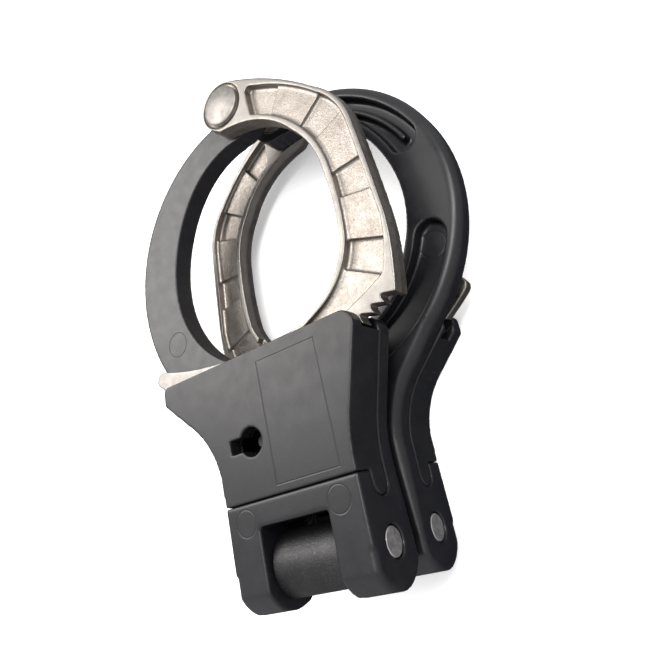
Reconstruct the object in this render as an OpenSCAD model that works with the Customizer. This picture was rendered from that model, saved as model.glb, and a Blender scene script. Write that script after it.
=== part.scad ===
// Hinged handcuffs, folded flat: two equal cuffs back to back on one hinge link.
// Cuff frame: X across the lock body, Y from the hinge pin to the ring, depths measured
// back from the cuff's own front face. The front cuff lies on top and faces up, and the
// rear cuff is the same cuff turned half a turn about Y, facing down.

/* [Lock body] */
// Thickness of a cuff, front face to back face
body_t = 16; // [15:0.5:18]
// Width of the lock body at the hinge end
body_w = 34.4; // [32:0.2:38]
// Height of the seam between the cover and the hinge yoke above the hinge pin
seam_y = 13.4; // [12.4:0.2:14.4]
// Height of the body's top edge above the hinge pin
body_top = 44.5; // [43.5:0.25:45.5]
// Thickness of the cover's front wall
cover_wall = 3.4; // [2.4:0.2:3.6]
// Thickness of the frame plate, which is the arm and the back of the lock body
plate_t = 5.7; // [5.2:0.1:5.9]
// Gap between the backs of the folded cuffs
cuff_gap = 3; // [2:0.5:5]

/* [Ring] */
// Radius of the arm's outer edge
arm_r = 42.1; // [41:0.1:44]
// Inner radius of the wrist opening beside the arm
opening_r = 28.7; // [27:0.1:29.2]
// Extra height of the wrist opening towards the pivot rivet
opening_rise = 4.6; // [3:0.2:5]
// Thickness of the swinging bow
bow_t = 5.1; // [4.6:0.1:5.2]
// Thickness of the bow's toothed end
tooth_t = 3.1; // [2.6:0.1:3.5]
// Depth of the lands between the bow's rims
land_depth = 1.1; // [0.8:0.1:1.3]
// Depth of the square pockets between the lands
pocket_depth = 2.1; // [1.6:0.1:2.2]

/* [Ratchet] */
// Radius of the tooth crests about the pivot rivet
crest_r = 77.7; // [77.2:0.1:77.9]
// Depth of a tooth
tooth_depth = 2.3; // [1.8:0.1:2.4]
// Angle from one tooth to the next
tooth_pitch = 2.35; // [2.35:0.01:2.4]
// Number of teeth on the bow
tooth_count = 21; // [18:1:21]
// Number of teeth on the pawl
pawl_teeth = 3; // [2:1:3]
// Angle that the pawl swings from clear of the teeth to engaged
pawl_swing = 6.6; // [6.4:0.1:7]

/* [Hinge] */
// Radius of the link's barrels
barrel_r = 6.6; // [6:0.1:6.8]
// Half width of the window that takes a barrel
window_half = 8.75; // [8.5:0.05:9.2]
// Height of the window's top edge above the hinge pin
window_top = 8.3; // [7.6:0.1:8.6]
// Reach of the yoke's round end from the hinge pin
yoke_r = 9; // [8.2:0.1:9.2]
// Radius of the hinge pin's shank
pin_r = 2.5; // [2:0.1:2.6]
// Radius of the hinge pin's heads
pin_head_r = 2.9; // [2.8:0.1:3.3]

/* [Rivet and keyway] */
// Radius of the pivot rivet's shank
rivet_r = 3; // [2.6:0.1:3.2]
// Radius of the pivot rivet's domed head
rivet_head_r = 5.6; // [5:0.1:5.7]
// Radius of the keyhole
keyhole_r = 3.08; // [2.9:0.02:3.2]
// Reach of the keyhole's slot from its centre
key_reach = 6; // [5.4:0.1:6.2]

/* [Hidden] */
$fn = 96;
eps = 0.01;
half_turn = 180;

plate_d = body_t - plate_t;
half_w = body_w / 2;
pin_d = body_t / 2;
total_h = 2 * body_t + cuff_gap;

ring_c = [-5.4, 73.2];
pivot = [-2.9, 114.3];
eye_r = 7.2;
arm_eye_r = 7.6;
y_shift = -(pivot[1] + arm_eye_r - yoke_r) / 2;

bow_d = 4.9;
fit_gap = 0.05;
joint_gap = 0.35;
seat_gap = 0.02;
slot_gap = 0.25;
channel_r = crest_r + 0.5;

first_tooth = 27.1;
tip_angle = -28.8;
pin_head_t = 1.6;
pin_inset = 0.3;
rivet_foot_r = 4.6;
rivet_foot_t = 1.05;
pin_stop = 2;
head_gap = 0.3;

key_c = [-7.3, 25.4];
key_slot_half = 1.5;
key_post_r = 1.2;
key_collar_r = 2.3;
liner_t = 0.7;
liner_gap = 0.05;

pawl_c = [16.5, 34.2];
pawl_pin_r = 1.25;
pawl_boss_r = 2.6;
pawl_d = 4.7;
pawl_t = 3.5;
pawl_inner_r = 79.3;
pawl_outer_r = 82.6;
pawl_first = -1.06;
mesh_shift = 0.2;
mesh_gap = 0.45;

core_d = 10.9;
core_t = 1.4;
core_inset = 2.4;
recess_depth = 3.2;
recess_in = 2.4;
recess_out = 3.3;
rib_r = 35.3;
rib_half = 0.6;
rib_drop = 0.6;

slide_d = 4.9;
slide_t = 3;
wire_r = 0.4;

polymer = [0.16, 0.16, 0.17];
cast_metal = [0.80, 0.78, 0.75];
pin_metal = [0.62, 0.60, 0.58];
link_metal = [0.30, 0.29, 0.28];
spring_metal = [0.70, 0.72, 0.75];

// ---- Helpers -------------------------------------------------------------------

// Points of an arc from a towards b that bulges to the left of a-b, without b itself.
function arc(a, b, bulge, n = 8) =
    let (chord = b - a,
         half = norm(chord) / 2,
         left = [-chord[1], chord[0]] / norm(chord),
         r = (half * half + bulge * bulge) / (2 * bulge),
         c = (a + b) / 2 + left * (bulge - r),
         start = atan2(a[1] - c[1], a[0] - c[0]),
         sweep = -2 * asin(half / abs(r)) * sign(bulge))
    [for (i = [0:n - 1])
        c + abs(r) * [cos(start + sweep * i / n), sin(start + sweep * i / n)]];

// A point at radius r about the pivot, at angle a from straight down towards +X.
function about_pivot(r, a) = pivot + r * [sin(a), -cos(a)];

// A rounded corner at p between the points before and after it.
function corner(before, p, after, r, n = 6) =
    let (u = (before - p) / norm(before - p),
         v = (after - p) / norm(after - p),
         half = acos(u * v) / 2,
         cut = r / tan(half),
         reach = r / sin(half),
         c = p + reach * (u + v) / norm(u + v),
         s = p + u * cut - c,
         e = p + v * cut - c,
         a0 = atan2(s[1], s[0]),
         raw = atan2(e[1], e[0]) - a0,
         turn = raw > half_turn ? raw - 360 : raw < -half_turn ? raw + 360 : raw)
    [for (i = [0:n]) c + r * [cos(a0 + turn * i / n), sin(a0 + turn * i / n)]];

// Places children between two depths below the front face.
module slab(d0, d1) {
    translate([0, 0, -d1]) linear_extrude(d1 - d0) children();
}

// A cylinder along X between two x values, at height y and depth d.
module cross_rod(x0, x1, y, d, r) {
    translate([x0, y, -d]) rotate([0, 90, 0]) cylinder(h = x1 - x0, r = r);
}

module post(c, d0, d1, r) {
    translate([c[0], c[1], -d1]) cylinder(h = d1 - d0, r = r);
}

// ---- Outlines ------------------------------------------------------------------

side_start_r = [half_w, 16];
side_end_r = [half_w + 2.3, 27.2];
side_start_l = [-half_w, 17.5];
side_end_l = [-half_w - 6.9, 32.6];
top_right = [half_w + 7.9, body_top];
waist_bulge_r = 0.5;
waist_bulge_l = 1.75;

// Right side of the body, from the seam up to the top edge.
function right_side(y0) = concat(
    [[half_w, y0]],
    arc(side_start_r, side_end_r, waist_bulge_r),
    corner(side_end_r, top_right, [0, body_top], 3));

module cover_outline() {
    left_top = [-half_w - 15, body_top];
    left_low = [-half_w - 15, 40.1];
    polygon(concat(
        right_side(seam_y + slot_gap),
        corner(top_right, left_top, left_low, 1.6),
        corner(left_top, left_low, side_end_l, 1.2),
        arc(side_end_l, side_start_l, waist_bulge_l),
        [[-half_w, seam_y + slot_gap]]));
}

// Back of the lock body, which runs on into the arm's outer edge at the left.
module back_outline() {
    arm_foot = ring_c + arm_r * [-cos(51.5), -sin(51.5)];
    polygon(concat(
        right_side(0),
        [ring_c + [0, -opening_r + eps], ring_c, arm_foot],
        arc(side_end_l, side_start_l, waist_bulge_l),
        [[-half_w, 0]]));
}

// Wrist opening beside the arm, grown outwards by grow.
module arm_opening(grow = 0) {
    polygon([for (a = [0:5:355])
        ring_c + (opening_r + grow + opening_rise * pow(max(0, sin(a)), 3))
            * [cos(a), sin(a)]]);
}

// Sector that holds the arm, from the pivot round the left to the body.
module arm_sector() {
    polygon([[pivot[0], 130], [-60, 130], [-60, 40.3], [ring_c[0], 40.3], ring_c]);
}

module arm_outline() {
    intersection() {
        translate(ring_c) circle(arm_r, $fn = 180);
        arm_sector();
    }
    translate(pivot) circle(arm_eye_r);
}

module frame_outline() {
    difference() {
        union() {
            arm_outline();
            back_outline();
        }
        arm_opening();
    }
}

// Stretch of ring between two radii and two angles, with round ends.
module ring_slot(r0, r1, a0, a1) {
    mid = (r0 + r1) / 2;
    n = 16;
    inner = [for (i = [0:n]) let (a = a0 + (a1 - a0) * i / n) ring_c + r0 * [cos(a), sin(a)]];
    outer = [for (i = [n:-1:0]) let (a = a0 + (a1 - a0) * i / n) ring_c + r1 * [cos(a), sin(a)]];
    polygon(concat(inner, outer));
    for (a = [a0, a1]) translate(ring_c + mid * [cos(a), sin(a)]) circle((r1 - r0) / 2, $fn = 48);
}

// Recess in the arm's back between two angles, clear of both edges of the arm.
module recess(a0, a1) {
    difference() {
        ring_slot(opening_r + recess_in, arm_r - recess_out, a0, a1);
        arm_opening(recess_in);
    }
}

// ---- Frame: hinge yoke, back of the lock body and arm in one moulding ------------

tongue_d = 5;
tongue_r = (plate_d - tongue_d) / 2;
tongue_y = 11.25;
wall_t = 2.4;

module tongue(side, gap) {
    x0 = side > 0 ? half_w - wall_t - gap : -half_w - 1;
    x1 = side > 0 ? half_w + 1 : -half_w + wall_t + gap;
    d = tongue_d + tongue_r;
    r = tongue_r + gap;
    cross_rod(x0, x1, tongue_y, d, r);
    translate([x0, tongue_y, -d - r]) cube([x1 - x0, seam_y + 1 - tongue_y, 2 * r]);
}

module yoke() {
    difference() {
        union() {
            intersection() {
                cross_rod(-half_w, half_w, 0, pin_d, yoke_r);
                translate([-half_w - 1, -yoke_r - 1, -body_t])
                    cube([body_w + 2, 2 * yoke_r + 2, body_t]);
            }
            translate([-half_w, 0, -body_t]) cube([body_w, seam_y, body_t]);
        }
        for (side = [-1, 1]) tongue(side, 0.12);
    }
}

module hinge_window() {
    translate([-window_half, -yoke_r - 1, -body_t - 1])
        cube([2 * window_half, window_top + yoke_r + 1, body_t + 2]);
}

module pin_bore() {
    cross_rod(-half_w - 1, half_w + 1, 0, pin_d, pin_r + seat_gap);
    for (x = [-half_w - 1, half_w - pin_head_t])
        cross_rod(x, x + pin_head_t + 1, 0, pin_d, pin_head_r + head_gap);
}

module core_shape() {
    slab(core_d, core_d + core_t) difference() {
        union() {
            intersection() {
                translate(ring_c) circle(arm_r - core_inset, $fn = 180);
                arm_sector();
            }
            translate(pivot) circle(arm_eye_r - 2, $fn = 64);
            polygon([[-half_w + 3, seam_y + 1.5], [half_w - 3, seam_y + 1.5], [half_w - 2.2, 26],
                [half_w + 4.5, 41.5], [-5.4, 41.5], [-31, 43.5], [-half_w - 6.5, 36],
                [-half_w + 2.6, 24]]);
        }
        arm_opening(core_inset);
        translate(pivot) circle(rivet_r + 0.4);
        translate(key_c) circle(key_post_r + 0.4);
        translate(pawl_c) circle(pawl_pin_r + 0.4);
    }
}

module frame() {
    recess_floor = body_t - recess_depth;
    color(polymer) difference() {
        union() {
            slab(plate_d, body_t) frame_outline();
            yoke();
        }
        hinge_window();
        pin_bore();
        core_shape();
        // Upper recess in the arm's back, with a lower rib along it
        slab(recess_floor, body_t + 1) difference() {
            recess(158, 112);
            ring_slot(rib_r - rib_half, rib_r + rib_half, 158, 100);
        }
        slab(body_t - rib_drop, body_t + 1) recess(158, 112);
        // Lower recess, which runs down into the back of the body
        slab(recess_floor, body_t + 1) recess(203, 248);
        // Rivet and pin seats
        post(pivot, 0, body_t + 1, rivet_r + seat_gap);
        post(pivot, body_t - rivet_foot_t - 0.15, body_t + 1, rivet_foot_r + 0.1);
        post(pawl_c, plate_d - 1, body_t - pin_stop, pawl_pin_r + seat_gap);
        post(key_c, plate_d - 1, body_t - pin_stop, key_post_r + seat_gap);
    }
}

module core_plate() {
    color(pin_metal) core_shape();
}

// ---- Cover: front half of the lock body ------------------------------------------

module cavity_outline() {
    polygon([[-half_w + wall_t, seam_y + 2.4], [half_w - wall_t, seam_y + 2.4],
        [half_w - 1.9, 22], [half_w - 0.2, 28.2], [half_w + 4.1, 39], [-half_w - 9.4, 39],
        [-half_w - 4.4, 33.6], [-half_w + 0.6, 26], [-half_w + 2.2, 20.5]]);
}

module keyhole(r, slot_half, reach) {
    translate(key_c) {
        circle(r);
        translate([-reach, -slot_half]) square([reach, 2 * slot_half]);
    }
}

module cover() {
    color(polymer) difference() {
        union() {
            slab(0, plate_d) cover_outline();
            for (side = [-1, 1]) intersection() {
                tongue(side, 0);
                translate([-half_w, seam_y - 6, -plate_d]) cube([body_w, 9, plate_d]);
            }
        }
        slab(cover_wall, plate_d + 1) cavity_outline();
        // Channel that the bow swings through
        post(pivot, cover_wall, plate_d + 1, channel_r, $fn = 240);
        slab(-1, cover_wall + 1) keyhole(keyhole_r, key_slot_half, key_reach);
        // Mouth at the corner, where the bow's toothed end comes out
        slab(cover_wall + 1, plate_d - 1.3)
            polygon([[-40, 38.4], [-29.6, 38.4], [-26, 41], [-26, 50], [-40, 50]]);
    }
}

// ---- Bow --------------------------------------------------------------------------

// Saw-tooth edge from the first crest down: a steep flank at each crest's right side.
function saw(crest, root, first, count, pitch) =
    [for (i = [0:count - 1]) each [
        about_pivot(crest, first - pitch * i),
        about_pivot(root, first - pitch * (i + 1) + 0.08)]];

module bow_outline() {
    inner_tip = about_pivot(72, tip_angle + 0.4);
    outer_tip = about_pivot(76.2, tip_angle + 0.6);
    end_a = first_tooth - tooth_pitch * tooth_count;
    polygon(concat(
        [for (a = [224:-9:71]) pivot + eye_r * [cos(a), sin(a)]],
        arc([0.5, 120.65], [26, 101.8], 1.5),
        arc([26, 101.8], [33, 88], 1.6),
        arc([33, 88], [34.8, 62], 0.15, 4),
        arc([34.8, 62], about_pivot(crest_r, first_tooth), 0.5),
        saw(crest_r, crest_r - tooth_depth, first_tooth, tooth_count, tooth_pitch),
        arc(about_pivot(crest_r, end_a), outer_tip, 0.1, 4),
        arc(outer_tip, inner_tip, 1.6, 8),
        arc(inner_tip, [-3, 46.7], -1.7),
        arc([-3, 46.7], [9, 47.4], -0.3, 4),
        arc([9, 47.4], [22.4, 61], -2.3, 10),
        arc([22.4, 61], [22.6, 79], -0.55, 6),
        arc([22.6, 79], [17, 94], -1.3),
        arc([17, 94], [4, 104.7], -1.35),
        arc([4, 104.7], [-5, 106.7], -0.3, 4),
        [[-5, 106.7]]));
}

// Region between the bow's rims.
module bow_channel() {
    difference() {
        polygon(concat(
            corner([3.9, 107.1], [6.3, 114.9], [25.3, 100.3], 1, 4),
            arc([8.4, 113.4], [25.3, 100.3], 1.0),
            arc([25.3, 100.3], [31.3, 88], 1.3),
            [[31.3, 88], [33.3, 63]],
            arc([33.3, 63], about_pivot(72.2, 27.5), 0.6),
            [for (a = [27.5:-2.3:9]) about_pivot(72.2, a)],
            [about_pivot(69.5, 9)],
            arc([12.8, 47.9], [24.4, 62], -2.3, 10),
            arc([24.4, 62], [24.7, 79], -0.45, 6),
            arc([24.7, 79], [19, 94.9], -1.2),
            arc([19, 94.9], [3.9, 107.1], -1.3)));
        translate(pivot) circle(eye_r + 0.6);
    }
}

// Bands across the bow where the pockets go deeper than the lands.
module pocket_bands() {
    polygon([[1, 104], [5, 119], [16.6, 111.4], [10.6, 101.6]]);
    polygon([[17.5, 93.6], [27.6, 100.6], [33, 93], [20.8, 88.5]]);
    polygon([[23, 78.1], [34, 78.7], [34, 69.8], [23, 71.9]]);
    polygon([[22.8, 61.4], [34.5, 57.1], [32.4, 48.9], [21.6, 55]]);
}

module bow() {
    back = bow_d + bow_t;
    color(cast_metal) difference() {
        slab(bow_d, back) bow_outline();
        slab(bow_d - 1, bow_d + land_depth) bow_channel();
        slab(back - land_depth, back + 1) bow_channel();
        slab(bow_d - 1, bow_d + pocket_depth) intersection() {
            bow_channel();
            pocket_bands();
        }
        slab(back - pocket_depth, back + 1) intersection() {
            bow_channel();
            pocket_bands();
        }
        // The toothed end is thinner, from its back
        slab(bow_d + tooth_t, back + 1)
            polygon([[19.2, 58], [31.6, 44.5], [31.6, 30], [-50, 30], [-50, 58]]);
        post(pivot, 0, body_t, rivet_r + fit_gap);
        post(pivot, 0, bow_d + 0.8, rivet_head_r + 0.7);
    }
}

module pivot_rivet() {
    head_top = 1.3;
    dome_r = 19;
    color(cast_metal) translate([pivot[0], pivot[1], -bow_d]) rotate_extrude($fn = 128)
        intersection() {
            union() {
                translate([0, -0.8 + fit_gap]) square([rivet_head_r, 4]);
                translate([0, bow_d - body_t + 0.1]) square([rivet_r, body_t - bow_d]);
                translate([0, bow_d - body_t + 0.1]) square([rivet_foot_r, rivet_foot_t]);
            }
            translate([0, head_top - dome_r]) difference() {
                circle(dome_r, $fn = 256);
                translate([-2 * dome_r, -dome_r]) square(2 * dome_r);
            }
        }
}

// ---- Hinge ------------------------------------------------------------------------

module hinge_pin() {
    head_r = pin_head_r;
    color(pin_metal) intersection() {
        union() {
            cross_rod(-half_w + pin_inset, half_w - pin_inset, 0, pin_d, pin_r);
            for (x = [-half_w + pin_inset, half_w - pin_head_t + fit_gap])
                cross_rod(x, x + pin_head_t - pin_inset - fit_gap, 0, pin_d, head_r);
        }
        translate([0, 0, -pin_d]) rotate([0, 90, 0]) rotate_extrude($fn = 96)
            intersection() {
                translate([0, -half_w]) square([head_r + 1, body_w]);
                circle(half_w - 0.1, $fn = 256);
            }
    }
}

module hinge_link() {
    half = window_half - joint_gap;
    rear_z = pin_d;
    front_z = total_h - pin_d;
    chamfer = 0.5;
    color(link_metal) difference() {
        union() {
            for (z = [rear_z, front_z]) translate([0, 0, z]) rotate([0, 90, 0]) {
                translate([0, 0, -half + chamfer]) cylinder(h = 2 * (half - chamfer), r = barrel_r);
                for (s = [-1, 1]) translate([0, 0, s * (half - chamfer / 2)])
                    cylinder(h = chamfer, center = true,
                        r1 = barrel_r - (s < 0 ? chamfer : 0),
                        r2 = barrel_r - (s > 0 ? chamfer : 0));
            }
            translate([-half + chamfer, -barrel_r, rear_z])
                cube([2 * (half - chamfer), 2 * barrel_r, front_z - rear_z]);
            translate([-half, -barrel_r + chamfer, rear_z])
                cube([2 * half, 2 * (barrel_r - chamfer), front_z - rear_z]);
        }
        for (z = [rear_z, front_z]) translate([-half - 1, 0, z]) rotate([0, 90, 0])
            cylinder(h = 2 * half + 2, r = pin_r + fit_gap);
    }
}

// ---- Lock parts -------------------------------------------------------------------

module lock_plate() {
    color(pin_metal) slab(cover_wall + liner_gap, cover_wall + liner_gap + liner_t) difference() {
        offset_cavity();
        keyhole(keyhole_r + 0.3, key_slot_half + 0.3, key_reach + 0.3);
        translate(pawl_c) circle(pawl_pin_r + seat_gap);
    }
}

// Plan of the steel liner, a little inside the cavity's walls.
module offset_cavity() {
    polygon([[-half_w + 2.6, seam_y + 2.6], [half_w - 2.6, seam_y + 2.6],
        [half_w - 2.1, 22], [half_w - 0.5, 28.2], [half_w + 3.6, 38.6], [-half_w - 8.8, 38.6],
        [-half_w - 4.1, 33.4], [-half_w + 0.9, 25.9], [-half_w + 2.4, 20.5]]);
}

// The pawl in its engaged place: a curved bar about the bow's pivot with teeth on top.
module pawl_plan() {
    left_end = pawl_first - tooth_pitch * pawl_teeth;
    n = 10;
    right_end = 12.6;
    polygon(concat(
        [for (i = [0:n]) let (a = right_end + (pawl_first + 0.3 - right_end) * i / n)
            about_pivot(pawl_inner_r, a)],
        [for (i = [0:pawl_teeth - 1]) each [
            about_pivot(crest_r + mesh_gap, pawl_first - tooth_pitch * i + mesh_shift),
            about_pivot(crest_r - tooth_depth + mesh_gap,
                pawl_first - tooth_pitch * (i + 1) + mesh_shift + 0.08)]],
        [for (i = [0:n]) let (a = left_end + (right_end - left_end) * i / n)
            about_pivot(pawl_outer_r, a)]));
    translate(pawl_c) circle(pawl_boss_r);
}

module pawl() {
    color(pin_metal) translate(pawl_c) rotate(pawl_swing) translate(-pawl_c)
        difference() {
            slab(pawl_d, pawl_d + pawl_t) pawl_plan();
            post(pawl_c, 0, body_t, pawl_pin_r + fit_gap);
        }
}

module pawl_pin() {
    color(pin_metal) post(pawl_c, cover_wall + 0.2, body_t - pin_stop - 0.2, pawl_pin_r);
}

// Two turns of wire round the pawl pin, with one leg on the side wall and one on the pawl.
module pawl_spring() {
    coil_r = pawl_pin_r + 0.1 + wire_r;
    low = 0.5 - plate_d;
    turn_pitch = 0.7;
    color(spring_metal) {
        translate([pawl_c[0], pawl_c[1], low]) rotate_extrude()
            for (i = [0:1]) translate([coil_r, turn_pitch * i]) circle(wire_r, $fn = 24);
        spring_leg(coil_r, 250, 9, low);
        spring_leg(coil_r, 200, 11, low + turn_pitch);
    }
}

// A straight wire leg that leaves the coil at angle a.
module spring_leg(coil_r, a, length, z) {
    translate([pawl_c[0], pawl_c[1], z]) rotate(a) translate([0, coil_r, 0])
        rotate([0, 90, 0]) cylinder(h = length, r = wire_r - 0.04, $fn = 24);
}

module lock_slide() {
    color(pin_metal) slab(slide_d, slide_d + slide_t) difference() {
        union() {
            translate([-13.5, 17.2]) square([23, 3]);
            translate([6.4, 17.2]) square([3.1, 13.4]);
        }
        translate(key_c) circle(key_reach + 0.15);
    }
}

// A bowed leaf below the slide, held at both ends of the cavity.
module slide_spring() {
    leaf_t = 0.35;
    rise = 0.6;
    a = [-12, seam_y + 2.45];
    b = [8, seam_y + 2.45];
    color(spring_metal) slab(slide_d + 0.3, slide_d + slide_t - 0.3)
        polygon(concat(
            arc(b + [0, leaf_t], a + [0, leaf_t], -rise, 14), [a + [0, leaf_t]],
            arc(a, b, rise, 14), [b]));
}

module key_post() {
    color(pin_metal) {
        post(key_c, cover_wall + 0.4, body_t - pin_stop - 0.2, key_post_r);
        post(key_c, plate_d - 0.9, plate_d - seat_gap, key_collar_r);
    }
}

// ---- Placing ----------------------------------------------------------------------

module centred() {
    translate([0, y_shift, 0]) children();
}

module front_cuff() {
    centred() translate([0, 0, total_h]) children();
}

module rear_cuff() {
    centred() rotate([0, half_turn, 0]) children();
}

centred() hinge_link();
front_cuff() frame();  // front_frame
front_cuff() cover();  // front_cover
front_cuff() core_plate();  // front_core_plate
front_cuff() lock_plate();  // front_lock_plate
front_cuff() bow();  // front_bow
front_cuff() pivot_rivet();  // front_pivot_rivet
front_cuff() hinge_pin();  // front_hinge_pin
front_cuff() pawl();  // front_pawl
front_cuff() pawl_pin();  // front_pawl_pin
front_cuff() pawl_spring();  // front_pawl_spring
front_cuff() lock_slide();  // front_lock_slide
front_cuff() slide_spring();  // front_slide_spring
front_cuff() key_post();  // front_key_post
rear_cuff() frame();  // rear_frame
rear_cuff() cover();  // rear_cover
rear_cuff() core_plate();  // rear_core_plate
rear_cuff() lock_plate();  // rear_lock_plate
rear_cuff() bow();  // rear_bow
rear_cuff() pivot_rivet();  // rear_pivot_rivet
rear_cuff() hinge_pin();  // rear_hinge_pin
rear_cuff() pawl();  // rear_pawl
rear_cuff() pawl_pin();  // rear_pawl_pin
rear_cuff() pawl_spring();  // rear_pawl_spring
rear_cuff() lock_slide();  // rear_lock_slide
rear_cuff() slide_spring();  // rear_slide_spring
rear_cuff() key_post();  // rear_key_post
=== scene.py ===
"""Looks of the folded hinged handcuffs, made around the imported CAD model."""

import math

import bpy
import numpy as np
from mathutils import Matrix, Vector
from mathutils.bvhtree import BVHTree


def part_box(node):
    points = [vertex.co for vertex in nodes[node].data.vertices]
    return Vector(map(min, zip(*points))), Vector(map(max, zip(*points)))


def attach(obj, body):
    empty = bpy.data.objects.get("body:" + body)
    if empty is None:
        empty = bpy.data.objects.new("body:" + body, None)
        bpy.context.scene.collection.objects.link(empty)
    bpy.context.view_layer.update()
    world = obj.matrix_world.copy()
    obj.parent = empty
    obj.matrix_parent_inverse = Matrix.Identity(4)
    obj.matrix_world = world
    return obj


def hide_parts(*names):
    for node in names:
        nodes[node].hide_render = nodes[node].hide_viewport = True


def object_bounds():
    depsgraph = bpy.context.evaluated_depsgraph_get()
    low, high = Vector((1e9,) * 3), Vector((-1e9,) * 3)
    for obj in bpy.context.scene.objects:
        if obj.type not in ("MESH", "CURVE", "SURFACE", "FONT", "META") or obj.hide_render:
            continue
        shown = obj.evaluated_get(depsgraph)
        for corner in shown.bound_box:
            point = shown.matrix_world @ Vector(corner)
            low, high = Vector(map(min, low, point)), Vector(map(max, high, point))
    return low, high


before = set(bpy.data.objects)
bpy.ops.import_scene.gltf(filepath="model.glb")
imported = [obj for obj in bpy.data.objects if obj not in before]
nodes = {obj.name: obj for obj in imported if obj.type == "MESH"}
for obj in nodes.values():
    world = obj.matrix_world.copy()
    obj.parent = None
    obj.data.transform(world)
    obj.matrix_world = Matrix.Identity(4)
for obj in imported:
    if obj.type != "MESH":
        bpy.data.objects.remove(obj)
cad_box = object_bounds()

MM = 0.001
CUFFS = ("front", "rear")
CENTRE = (cad_box[0] + cad_box[1]) / 2


def middle(name):
    low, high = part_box(name)
    return (low + high) / 2


class Cuff:
    """Places on one cuff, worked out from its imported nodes."""

    def __init__(self, name):
        self.name = name
        self.side = 1 if name == "front" else -1
        cover_low, cover_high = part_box(f"{name}_cover")
        frame_low, frame_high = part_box(f"{name}_frame")
        self.face_z = cover_high.z if self.side > 0 else cover_low.z
        self.back_z = frame_low.z if self.side > 0 else frame_high.z
        self.pin = middle(f"{name}_hinge_pin")
        self.pivot = middle(f"{name}_pivot_rivet")
        self.bow_z = middle(f"{name}_bow").z
        self.bow_half = (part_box(f"{name}_bow")[1].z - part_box(f"{name}_bow")[0].z) / 2

    def place(self, x, y, z=None):
        """A point given in the cuff's own frame, in millimetres from the hinge pin."""
        return Vector((self.side * x * MM, self.pin.y + y * MM, self.face_z if z is None else z))


CUFF = {name: Cuff(name) for name in CUFFS}

# Sizes of one cuff, in millimetres; places are measured from its hinge pin.
RING_CENTRE = (-5.4, 73.2)
TOOTH_ROOT = 74.6  # from the pivot to the bottom of the bow's teeth
YOKE_R = 9  # round end of the hinge yoke
SEAM_Y = 13.65  # groove between cover and yoke
LABEL_CORNERS = ((-2.2, 15.3), (13.8, 41.4))
YOKE_RINGS = ((-12, 9.6, 2.7), (12, 9.6, 2.7))  # ejector-pin marks: x, y, radius
ARM_RING = (-36.4, 58.6, 3.3)


# ---- Camera, floor and light ------------------------------------------------------


def make_camera():
    """A camera fitted to the photograph's place, roll and field of view."""
    place = Vector((80.3, -51.25, 132.5)) * MM
    right = Vector((0.805, -0.224, -0.549)).normalized()
    back = Vector((0.457, -0.355, 0.816))
    back = (back - right * back.dot(right)).normalized()
    up = back.cross(right)
    data = bpy.data.cameras.new("camera")
    data.sensor_width = 36.0
    data.lens = 33.1
    data.shift_x = -0.0417
    data.shift_y = -0.0572
    data.clip_start = 0.01
    data.clip_end = 20.0
    camera = bpy.data.objects.new("camera", data)
    turn = Matrix((right, up, back)).transposed().to_4x4()
    camera.matrix_world = Matrix.Translation(place) @ turn
    bpy.context.scene.collection.objects.link(camera)
    bpy.context.scene.camera = camera


def area_light(name, direction, distance, size, power, color):
    """A soft light, wide and high as size says, that looks at the object's centre."""
    data = bpy.data.lights.new(name, "AREA")
    data.shape = "RECTANGLE"
    data.size, data.size_y = size
    data.energy = power
    data.color = color
    light = bpy.data.objects.new(name, data)
    away = Vector(direction).normalized()
    light.location = CENTRE + away * distance
    light.rotation_mode = "QUATERNION"
    light.rotation_quaternion = away.to_track_quat("Z", "Y")
    bpy.context.scene.collection.objects.link(light)


def make_floor():
    """A pale floor just under the object, which belongs to the stage and not to the part."""
    half = 2.0
    mesh = bpy.data.meshes.new("floor")
    corners = [(-half, -half, 0), (half, -half, 0), (half, half, 0), (-half, half, 0)]
    mesh.from_pydata(corners, [], [(0, 1, 2, 3)])
    floor = bpy.data.objects.new("floor", mesh)
    floor.location.z = cad_box[0].z - 0.05 * MM
    floor.visible_glossy = False
    bpy.context.scene.collection.objects.link(floor)
    material = bpy.data.materials.new("floor")
    material.use_nodes = True
    shader = material.node_tree.nodes["Principled BSDF"]
    shader.inputs["Base Color"].default_value = (0.95, 0.95, 0.95, 1)
    shader.inputs["Roughness"].default_value = 0.9
    shader.inputs["Specular IOR Level"].default_value = 0.0
    shader.inputs["Emission Color"].default_value = (1, 1, 1, 1)
    shader.inputs["Emission Strength"].default_value = 0.25
    mesh.materials.append(material)


def make_world():
    """A studio that is pale above the horizon and dark below it."""
    world = bpy.data.worlds.new("world")
    bpy.context.scene.world = world
    world.use_nodes = True
    tree = world.node_tree
    background = tree.nodes["Background"]
    coords = tree.nodes.new("ShaderNodeTexCoord")
    split = tree.nodes.new("ShaderNodeSeparateXYZ")
    ramp = tree.nodes.new("ShaderNodeValToRGB")
    below, above = ramp.color_ramp.elements
    below.position = 0.08
    below.color = (0.035, 0.038, 0.052, 1)
    side = ramp.color_ramp.elements.new(0.36)
    side.color = (0.34, 0.342, 0.36, 1)
    above.position = 0.56
    above.color = (0.82, 0.82, 0.83, 1)
    half_up = tree.nodes.new("ShaderNodeMath")
    half_up.operation = "MULTIPLY_ADD"
    half_up.inputs[1].default_value = 0.5
    half_up.inputs[2].default_value = 0.5
    tree.links.new(coords.outputs["Generated"], split.inputs[0])
    tree.links.new(split.outputs["Z"], half_up.inputs[0])
    tree.links.new(half_up.outputs[0], ramp.inputs["Fac"])
    tree.links.new(ramp.outputs["Color"], background.inputs["Color"])
    background.inputs["Strength"].default_value = 1.0


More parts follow.
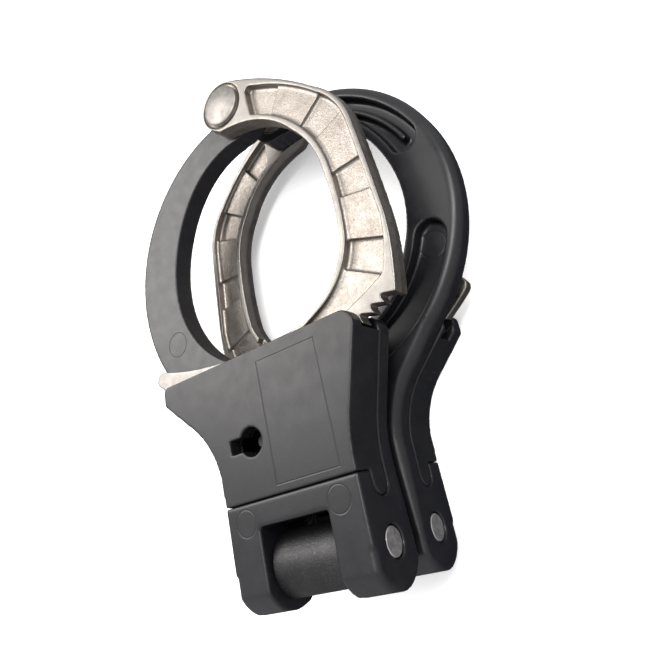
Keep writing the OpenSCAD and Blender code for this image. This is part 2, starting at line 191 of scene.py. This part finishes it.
def make_stage():
    make_floor()
    make_world()
    area_light("key", (-0.57, 0.41, 0.71), 0.7, (0.42, 0.42), 3.7, (1, 0.965, 0.93))
    area_light("rim", (0.36, 0.22, 0.9), 0.7, (0.16, 0.6), 4.2, (1, 0.99, 0.98))
    bpy.context.scene.view_settings.view_transform = "Standard"


# ---- Shapes ------------------------------------------------------------------------


def round_edges(piece, width):
    """Breaks a node's sharp edges, with modifiers only; the width is in millimetres."""
    weld = piece.modifiers.new("weld", "WELD")
    weld.merge_threshold = 0.002 * MM
    flat = piece.modifiers.new("flat", "DECIMATE")
    flat.decimate_type = "DISSOLVE"
    flat.angle_limit = math.radians(0.5)
    bevel = piece.modifiers.new("bevel", "BEVEL")
    bevel.width = width * MM
    bevel.segments = 3
    bevel.limit_method = "ANGLE"
    bevel.angle_limit = math.radians(35)
    bevel.use_clamp_overlap = True
    bevel.miter_outer = "MITER_ARC"
    bevel.harden_normals = True


def moulded_copy(node, voxel):
    """A new piece with a node's shape on an even fine grid, ready to be softened."""
    piece = bpy.data.objects.new(f"{node}_shell", nodes[node].data.copy())
    bpy.context.scene.collection.objects.link(piece)
    remesh = piece.modifiers.new("remesh", "REMESH")
    remesh.mode = "VOXEL"
    remesh.voxel_size = voxel * MM
    graph = bpy.context.evaluated_depsgraph_get()
    mesh = bpy.data.meshes.new_from_object(piece.evaluated_get(graph))
    piece.modifiers.clear()
    piece.data = mesh
    return piece


def soften(piece, passes, keep, crisp=()):
    """Rounds every edge, thins the grid and shades it smooth; crisp vertices are rounded less."""
    group = piece.vertex_groups.new(name="soft")
    group.add(list(range(len(piece.data.vertices))), 1.0, "REPLACE")
    if len(crisp):
        group.add([int(i) for i in crisp], 0.35, "REPLACE")
    smooth = piece.modifiers.new("smooth", "SMOOTH")
    smooth.factor = 0.5
    smooth.iterations = passes
    smooth.vertex_group = group.name
    thin = piece.modifiers.new("thin", "DECIMATE")
    thin.ratio = keep
    graph = bpy.context.evaluated_depsgraph_get()
    mesh = bpy.data.meshes.new_from_object(piece.evaluated_get(graph))
    piece.modifiers.clear()
    piece.vertex_groups.clear()
    piece.data = mesh
    mesh.shade_smooth()


def vertex_array(mesh, name="co"):
    """The mesh's vertex places or normals, one row per vertex."""
    flat = np.empty(len(mesh.vertices) * 3)
    mesh.vertices.foreach_get(name, flat)
    return flat.reshape(-1, 3)


def move_vertices(mesh, points):
    mesh.vertices.foreach_set("co", points.ravel())
    mesh.update()


def stand_for(piece, node, body):
    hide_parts(node)
    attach(piece, body)


def outer_walls(cuff):
    """A search tree of the frame's side walls that face away from the ring, with nothing in front."""
    mesh = nodes[f"{cuff.name}_frame"].data
    points = [v.co.copy() for v in mesh.vertices]
    faces = [tuple(p.vertices) for p in mesh.polygons]
    whole = BVHTree.FromPolygons(points, faces)
    ring = cuff.place(*RING_CENTRE)
    chosen = []
    for polygon in mesh.polygons:
        normal = polygon.normal
        out = polygon.center - ring
        if abs(normal.z) > 0.3 or normal.xy.dot(out.xy) <= 0:
            continue
        if whole.ray_cast(polygon.center + normal * 0.02 * MM, normal)[0] is None:
            chosen.append(tuple(polygon.vertices))
    return BVHTree.FromPolygons(points, chosen)


def round_back_edge(piece, cuff):
    """Gives the frame's back its large outer round, which gets smaller round the hinge."""
    walls = outer_walls(cuff)
    points = vertex_array(piece.data)
    along = (points[:, 1] - cuff.pin.y) / MM
    at_hinge, gain, gain_length = 1.3, 1.1, 14
    radius = (at_hinge + gain * np.clip(along / gain_length, 0, 1)) * MM
    half_t = abs(cuff.back_z - cuff.face_z) / 2
    level = half_t - np.abs(points[:, 2] - cuff.pin.z)
    end = YOKE_R * MM - np.hypot(points[:, 1] - cuff.pin.y, points[:, 2] - cuff.pin.z)
    back = np.where(along > 0, np.abs(points[:, 2] - cuff.back_z), np.minimum(level, end))
    for i in np.nonzero(back < radius)[0]:
        r = radius[i]
        place = Vector(points[i])
        near, normal, _, away = walls.find_nearest(place, r)
        if near is None:
            continue
        across = (near - place).xy.length
        a, c = r - across, r - max(back[i], 0.0)
        reach = math.hypot(a, c)
        if reach <= r:
            continue
        a, c = a * r / reach, c * r / reach
        inward = -Vector((normal.x, normal.y, 0)).normalized()
        points[i, 0] = near.x + inward.x * (r - a)
        if along[i] > 0:
            points[i, 1] = near.y + inward.y * (r - a)
            points[i, 2] = cuff.back_z + cuff.side * (r - c)
        elif level[i] < end[i]:
            points[i, 2] = cuff.pin.z + math.copysign(half_t - (r - c), points[i, 2] - cuff.pin.z)
        else:
            spoke = np.array([points[i, 1] - cuff.pin.y, points[i, 2] - cuff.pin.z])
            spoke *= (YOKE_R * MM - (r - c)) / np.hypot(*spoke)
            points[i, 1] = cuff.pin.y + spoke[0]
            points[i, 2] = cuff.pin.z + spoke[1]
    move_vertices(piece.data, points)


def draft_walls(piece, cuff, angle=7):
    """Leans the bow's walls in from a parting line at half its thickness, as a casting's do."""
    normals = vertex_array(piece.data, "normal")
    points = vertex_array(piece.data)
    steep = np.clip((0.8 - np.abs(normals[:, 2])) / 0.4, 0, 1)
    lean = np.abs(points[:, 2] - cuff.bow_z) * math.tan(math.radians(angle)) * steep
    level = np.maximum(np.hypot(normals[:, 0], normals[:, 1]), 1e-6)
    points[:, 0] -= normals[:, 0] / level * lean
    points[:, 1] -= normals[:, 1] / level * lean
    move_vertices(piece.data, points)


def make_frame(cuff):
    node = f"{cuff.name}_frame"
    piece = moulded_copy(node, voxel=0.3)
    round_back_edge(piece, cuff)
    soften(piece, passes=7, keep=0.5)
    stand_for(piece, node, f"{cuff.name}_cuff")
    return piece


def close_seam(piece, cuff):
    """Steps the cover's lower wall down to the yoke, so that no light comes through the groove."""
    points = vertex_array(piece.data)
    band, rim, step = 0.15 * MM, 0.45 * MM, 0.22 * MM
    wall = np.abs(points[:, 1] - cuff.place(0, SEAM_Y).y) < band
    across = np.abs(points[:, 0])
    inset = np.minimum(across[wall].max() - across, np.abs(points[:, 2] - cuff.face_z))
    points[wall & (inset > rim), 1] -= step
    move_vertices(piece.data, points)


def make_cover(cuff):
    node = f"{cuff.name}_cover"
    piece = moulded_copy(node, voxel=0.25)
    close_seam(piece, cuff)
    soften(piece, passes=7, keep=0.4)
    stand_for(piece, node, f"{cuff.name}_cuff")
    return piece


def make_bow(cuff):
    """The cast bow: drafted, with soft rims and pockets and crisper teeth."""
    node = f"{cuff.name}_bow"
    piece = moulded_copy(node, voxel=0.2)
    draft_walls(piece, cuff)
    points = vertex_array(piece.data)
    reach = np.hypot(points[:, 0] - cuff.pivot.x, points[:, 1] - cuff.pivot.y)
    teeth = np.nonzero(reach > TOOTH_ROOT * MM)[0]
    soften(piece, passes=16, keep=0.5, crisp=teeth)
    stand_for(piece, node, f"{cuff.name}_swing_arm")
    return piece


# ---- Materials ---------------------------------------------------------------------


class Recipe:
    """One procedural material: a Principled shader and the nodes that feed it."""

    def __init__(self, name, metallic, roughness, specular=0.5):
        self.material = bpy.data.materials.new(name)
        self.material.use_nodes = True
        self.tree = self.material.node_tree
        self.shader = self.tree.nodes["Principled BSDF"]
        self.shader.inputs["Metallic"].default_value = metallic
        self.shader.inputs["Roughness"].default_value = roughness
        self.shader.inputs["Specular IOR Level"].default_value = specular
        self.coords = self.tree.nodes.new("ShaderNodeTexCoord").outputs["Object"]
        self.relief = None

    def link(self, output, target):
        self.tree.links.new(output, target)

    def math(self, operation, a, b=None, c=None):
        node = self.tree.nodes.new("ShaderNodeMath")
        node.operation = operation
        for i, value in enumerate((a, b, c)):
            if value is None:
                continue
            if isinstance(value, (int, float)):
                node.inputs[i].default_value = value
            else:
                self.link(value, node.inputs[i])
        return node.outputs[0]

    def noise(self, size, detail, stretch=(1, 1, 1)):
        """Noise whose blotches are about size millimetres across."""
        mapping = self.tree.nodes.new("ShaderNodeMapping")
        mapping.inputs["Scale"].default_value = stretch
        self.link(self.coords, mapping.inputs["Vector"])
        node = self.tree.nodes.new("ShaderNodeTexNoise")
        node.inputs["Scale"].default_value = 1 / (size * MM)
        node.inputs["Detail"].default_value = detail
        self.link(mapping.outputs[0], node.inputs["Vector"])
        return node.outputs["Fac"]

    def ramp(self, value, stops):
        """Colours or greys along a value; stops are (position, colour)."""
        node = self.tree.nodes.new("ShaderNodeValToRGB")
        elements = node.color_ramp.elements
        while len(elements) < len(stops):
            elements.new(0.5)
        for element, (position, color) in zip(elements, stops):
            element.position = position
            element.color = (*color, 1) if isinstance(color, tuple) else (color, color, color, 1)
        self.link(value, node.inputs["Fac"])
        return node.outputs["Color"]

    def mix(self, factor, a, b):
        node = self.tree.nodes.new("ShaderNodeMix")
        node.data_type = "RGBA"
        for name, value in (("Factor", factor), ("A", a), ("B", b)):
            socket = node.inputs[name]
            if isinstance(value, tuple):
                socket.default_value = (*value, 1)
            elif isinstance(value, (int, float)):
                socket.default_value = value
            else:
                self.link(value, socket)
        return node.outputs["Result"]

    def bump(self, height, distance, strength):
        """Adds relief of a depth in millimetres on top of the relief so far."""
        node = self.tree.nodes.new("ShaderNodeBump")
        node.inputs["Distance"].default_value = distance * MM
        node.inputs["Strength"].default_value = strength
        self.link(height, node.inputs["Height"])
        if self.relief is not None:
            self.link(self.relief, node.inputs["Normal"])
        self.relief = node.outputs["Normal"]
        self.link(self.relief, self.shader.inputs["Normal"])

    def color(self, output):
        self.link(output, self.shader.inputs["Base Color"])

    def roughness(self, output):
        self.link(output, self.shader.inputs["Roughness"])

    def edges(self, low, high):
        """A mask of the mesh's outer edges, for lighter edges that are partly rubbed wear and partly
        a painted highlight.
        """
        point = self.tree.nodes.new("ShaderNodeNewGeometry").outputs["Pointiness"]
        return self.ramp(point, [(low, 0.0), (high, 1.0)])

    def axes(self):
        split = self.tree.nodes.new("ShaderNodeSeparateXYZ")
        self.link(self.coords, split.inputs[0])
        return split.outputs

    def near(self, value, target, width):
        """One at target and zero beyond width, both in millimetres."""
        away = self.math("ABSOLUTE", self.math("SUBTRACT", value, target * MM))
        share = self.math("MINIMUM", self.math("DIVIDE", away, width * MM), 1.0)
        return self.math("SUBTRACT", 1.0, share)


def polymer(name, gloss):
    """Black glass-filled nylon with a fine moulded grain and a few pale fibres."""
    r = Recipe(name, 0, gloss, 0.42)
    dark, pale = (0.0056, 0.0056, 0.0074), (0.0084, 0.0084, 0.0104)
    base = r.ramp(r.noise(7, 3), [(0.3, dark), (0.7, pale)])
    specks = r.ramp(r.noise(0.2, 2), [(0.62, 0.0), (0.74, 0.35)])
    base = r.mix(specks, base, (0.10, 0.098, 0.096))
    # Outer edges are lightened in the base colour: partly rubbed wear, partly a painted highlight
    # along the edges.
    r.color(r.mix(r.edges(0.58, 0.72), base, (0.035, 0.0345, 0.034)))
    r.roughness(r.ramp(r.noise(3.5, 6), [(0.3, gloss - 0.04), (0.7, gloss + 0.05)]))
    r.bump(r.noise(0.3, 2), 0.013, 0.5)
    return r


def ring_line(r, cuff, x, y, radius):
    """The hairline ring that an ejector pin leaves on a face."""
    at = cuff.place(x, y)
    axes = r.axes()
    dx = r.math("SUBTRACT", axes["X"], at.x)
    dy = r.math("SUBTRACT", axes["Y"], at.y)
    reach = r.math("SQRT", r.math("ADD", r.math("MULTIPLY", dx, dx), r.math("MULTIPLY", dy, dy)))
    return r.near(reach, radius, 0.22)


def frame_material(cuff):
    """The frame's polymer with its three ejector-pin rings."""
    r = polymer(f"{cuff.name}_frame_polymer", 0.33)
    lines = r.math("MAXIMUM", *(ring_line(r, cuff, *ring) for ring in YOKE_RINGS))
    lines = r.math("MAXIMUM", lines, ring_line(r, cuff, *ARM_RING))
    r.bump(r.math("MULTIPLY", lines, -1.0), 0.05, 0.8)
    return r.material


def cover_material(cuff):
    """The cover's polymer with the sunk outline of a blank label on its face."""
    r = polymer(f"{cuff.name}_cover_polymer", 0.36)
    low, high = (cuff.place(x, y) for x, y in LABEL_CORNERS)
    axes = r.axes()
    half = (abs(high.x - low.x) / 2, abs(high.y - low.y) / 2)
    dx = r.math("ABSOLUTE", r.math("SUBTRACT", axes["X"], (low.x + high.x) / 2))
    dy = r.math("ABSOLUTE", r.math("SUBTRACT", axes["Y"], (low.y + high.y) / 2))
    out = r.math("MAXIMUM", r.math("SUBTRACT", dx, half[0]), r.math("SUBTRACT", dy, half[1]))
    r.bump(r.math("MULTIPLY", r.near(out, 0, 0.2), -1.0), 0.05, 0.8)
    return r.material


def cast_metal(cuff):
    """Cast stainless bow: sandy pocket floors between polished rims."""
    r = Recipe(f"{cuff.name}_cast", 1, 0.4)
    height = r.math("ABSOLUTE", r.math("SUBTRACT", r.axes()["Z"], cuff.bow_z))
    rim = r.ramp(r.math("DIVIDE", height, cuff.bow_half), [(0.86, 0.0), (0.97, 1.0)])
    patches = r.noise(5, 4)
    dark, plain, pale = (0.25, 0.222, 0.196), (0.30, 0.272, 0.245), (0.335, 0.31, 0.286)
    cast = r.ramp(patches, [(0.3, dark), (0.5, plain), (0.72, pale)])
    pits = r.ramp(r.noise(0.5, 3), [(0.28, 1.0), (0.4, 0.0)])
    cast = r.mix(pits, cast, (0.17, 0.147, 0.125))
    r.color(r.mix(rim, cast, (0.225, 0.212, 0.197)))
    rough = r.ramp(r.noise(1.1, 4), [(0.3, 0.36), (0.7, 0.52)])
    polish = r.ramp(r.noise(2.2, 3), [(0.3, 0.33), (0.7, 0.46)])
    r.roughness(r.mix(rim, rough, polish))
    floors = r.math("SUBTRACT", 1.0, r.math("MULTIPLY", rim, 0.8))
    sand = r.math("MULTIPLY", r.noise(0.45, 4), floors)
    r.bump(sand, 0.09, 0.7)
    r.bump(r.noise(0.8, 2, (1, 0.08, 1)), 0.01, 0.35)
    return r.material


def turned_steel(name, color, roughness):
    """Plain steel with faint turning or drawing marks and rubbed patches."""
    r = Recipe(name, 1, roughness)
    dull = tuple(c * 0.72 for c in color)
    r.color(r.ramp(r.noise(1.6, 4), [(0.3, dull), (0.65, color)]))
    r.roughness(r.ramp(r.noise(0.7, 4), [(0.3, roughness - 0.05), (0.7, roughness + 0.1)]))
    r.bump(r.noise(0.25, 3), 0.012, 0.5)
    return r.material


def link_finish():
    """Blackened steel barrel with a fine satin grain, rubbed a little in scattered spots."""
    r = Recipe("link_black_steel", 1, 0.42)
    base = r.ramp(r.noise(4, 4), [(0.3, (0.040, 0.040, 0.042)), (0.7, (0.052, 0.052, 0.053))])
    scuffs = r.ramp(r.noise(0.35, 3), [(0.54, 0.0), (0.72, 0.45)])
    r.color(r.mix(scuffs, base, (0.12, 0.117, 0.112)))
    r.roughness(r.ramp(r.noise(0.5, 3), [(0.3, 0.44), (0.7, 0.52)]))
    r.bump(r.noise(0.35, 3), 0.05, 0.8)
    return r.material


def wear(piece, material):
    piece.data.materials.clear()
    piece.data.materials.append(material)


def dress(pieces):
    """Gives every piece its material, and a replaced node the one of its shell."""
    rivet = turned_steel("rivet_steel", (0.30, 0.282, 0.263), 0.44)
    pin = turned_steel("pin_steel", (0.88, 0.84, 0.80), 0.40)
    # The key post's steel is coloured nearly black: painted shade for its place deep inside the
    # cover.
    post = turned_steel("post_steel", (0.06, 0.06, 0.06), 0.5)
    steel = turned_steel("lock_steel", (0.52, 0.51, 0.50), 0.38)
    spring = turned_steel("spring_steel", (0.66, 0.66, 0.68), 0.25)
    wear(nodes["hinge_link"], link_finish())
    makers = (("frame", frame_material), ("cover", cover_material), ("bow", cast_metal))
    for cuff in CUFF.values():
        for part, make_material in makers:
            material = make_material(cuff)
            wear(pieces[f"{cuff.name}_{part}"], material)
            wear(nodes[f"{cuff.name}_{part}"], material)
        wear(nodes[f"{cuff.name}_pivot_rivet"], rivet)
        wear(nodes[f"{cuff.name}_hinge_pin"], pin)
        wear(nodes[f"{cuff.name}_key_post"], post)
        for part in ("core_plate", "lock_plate", "pawl", "pawl_pin", "lock_slide"):
            wear(nodes[f"{cuff.name}_{part}"], steel)
        for part in ("pawl_spring", "slide_spring"):
            wear(nodes[f"{cuff.name}_{part}"], spring)


make_camera()
make_stage()
shells = {}
for cuff in CUFF.values():
    shells[f"{cuff.name}_frame"] = make_frame(cuff)
    shells[f"{cuff.name}_bow"] = make_bow(cuff)
    shells[f"{cuff.name}_cover"] = make_cover(cuff)
    round_edges(nodes[f"{cuff.name}_hinge_pin"], 0.25)
    round_edges(nodes[f"{cuff.name}_pivot_rivet"], 0.2)
round_edges(nodes["hinge_link"], 0.3)
dress(shells)
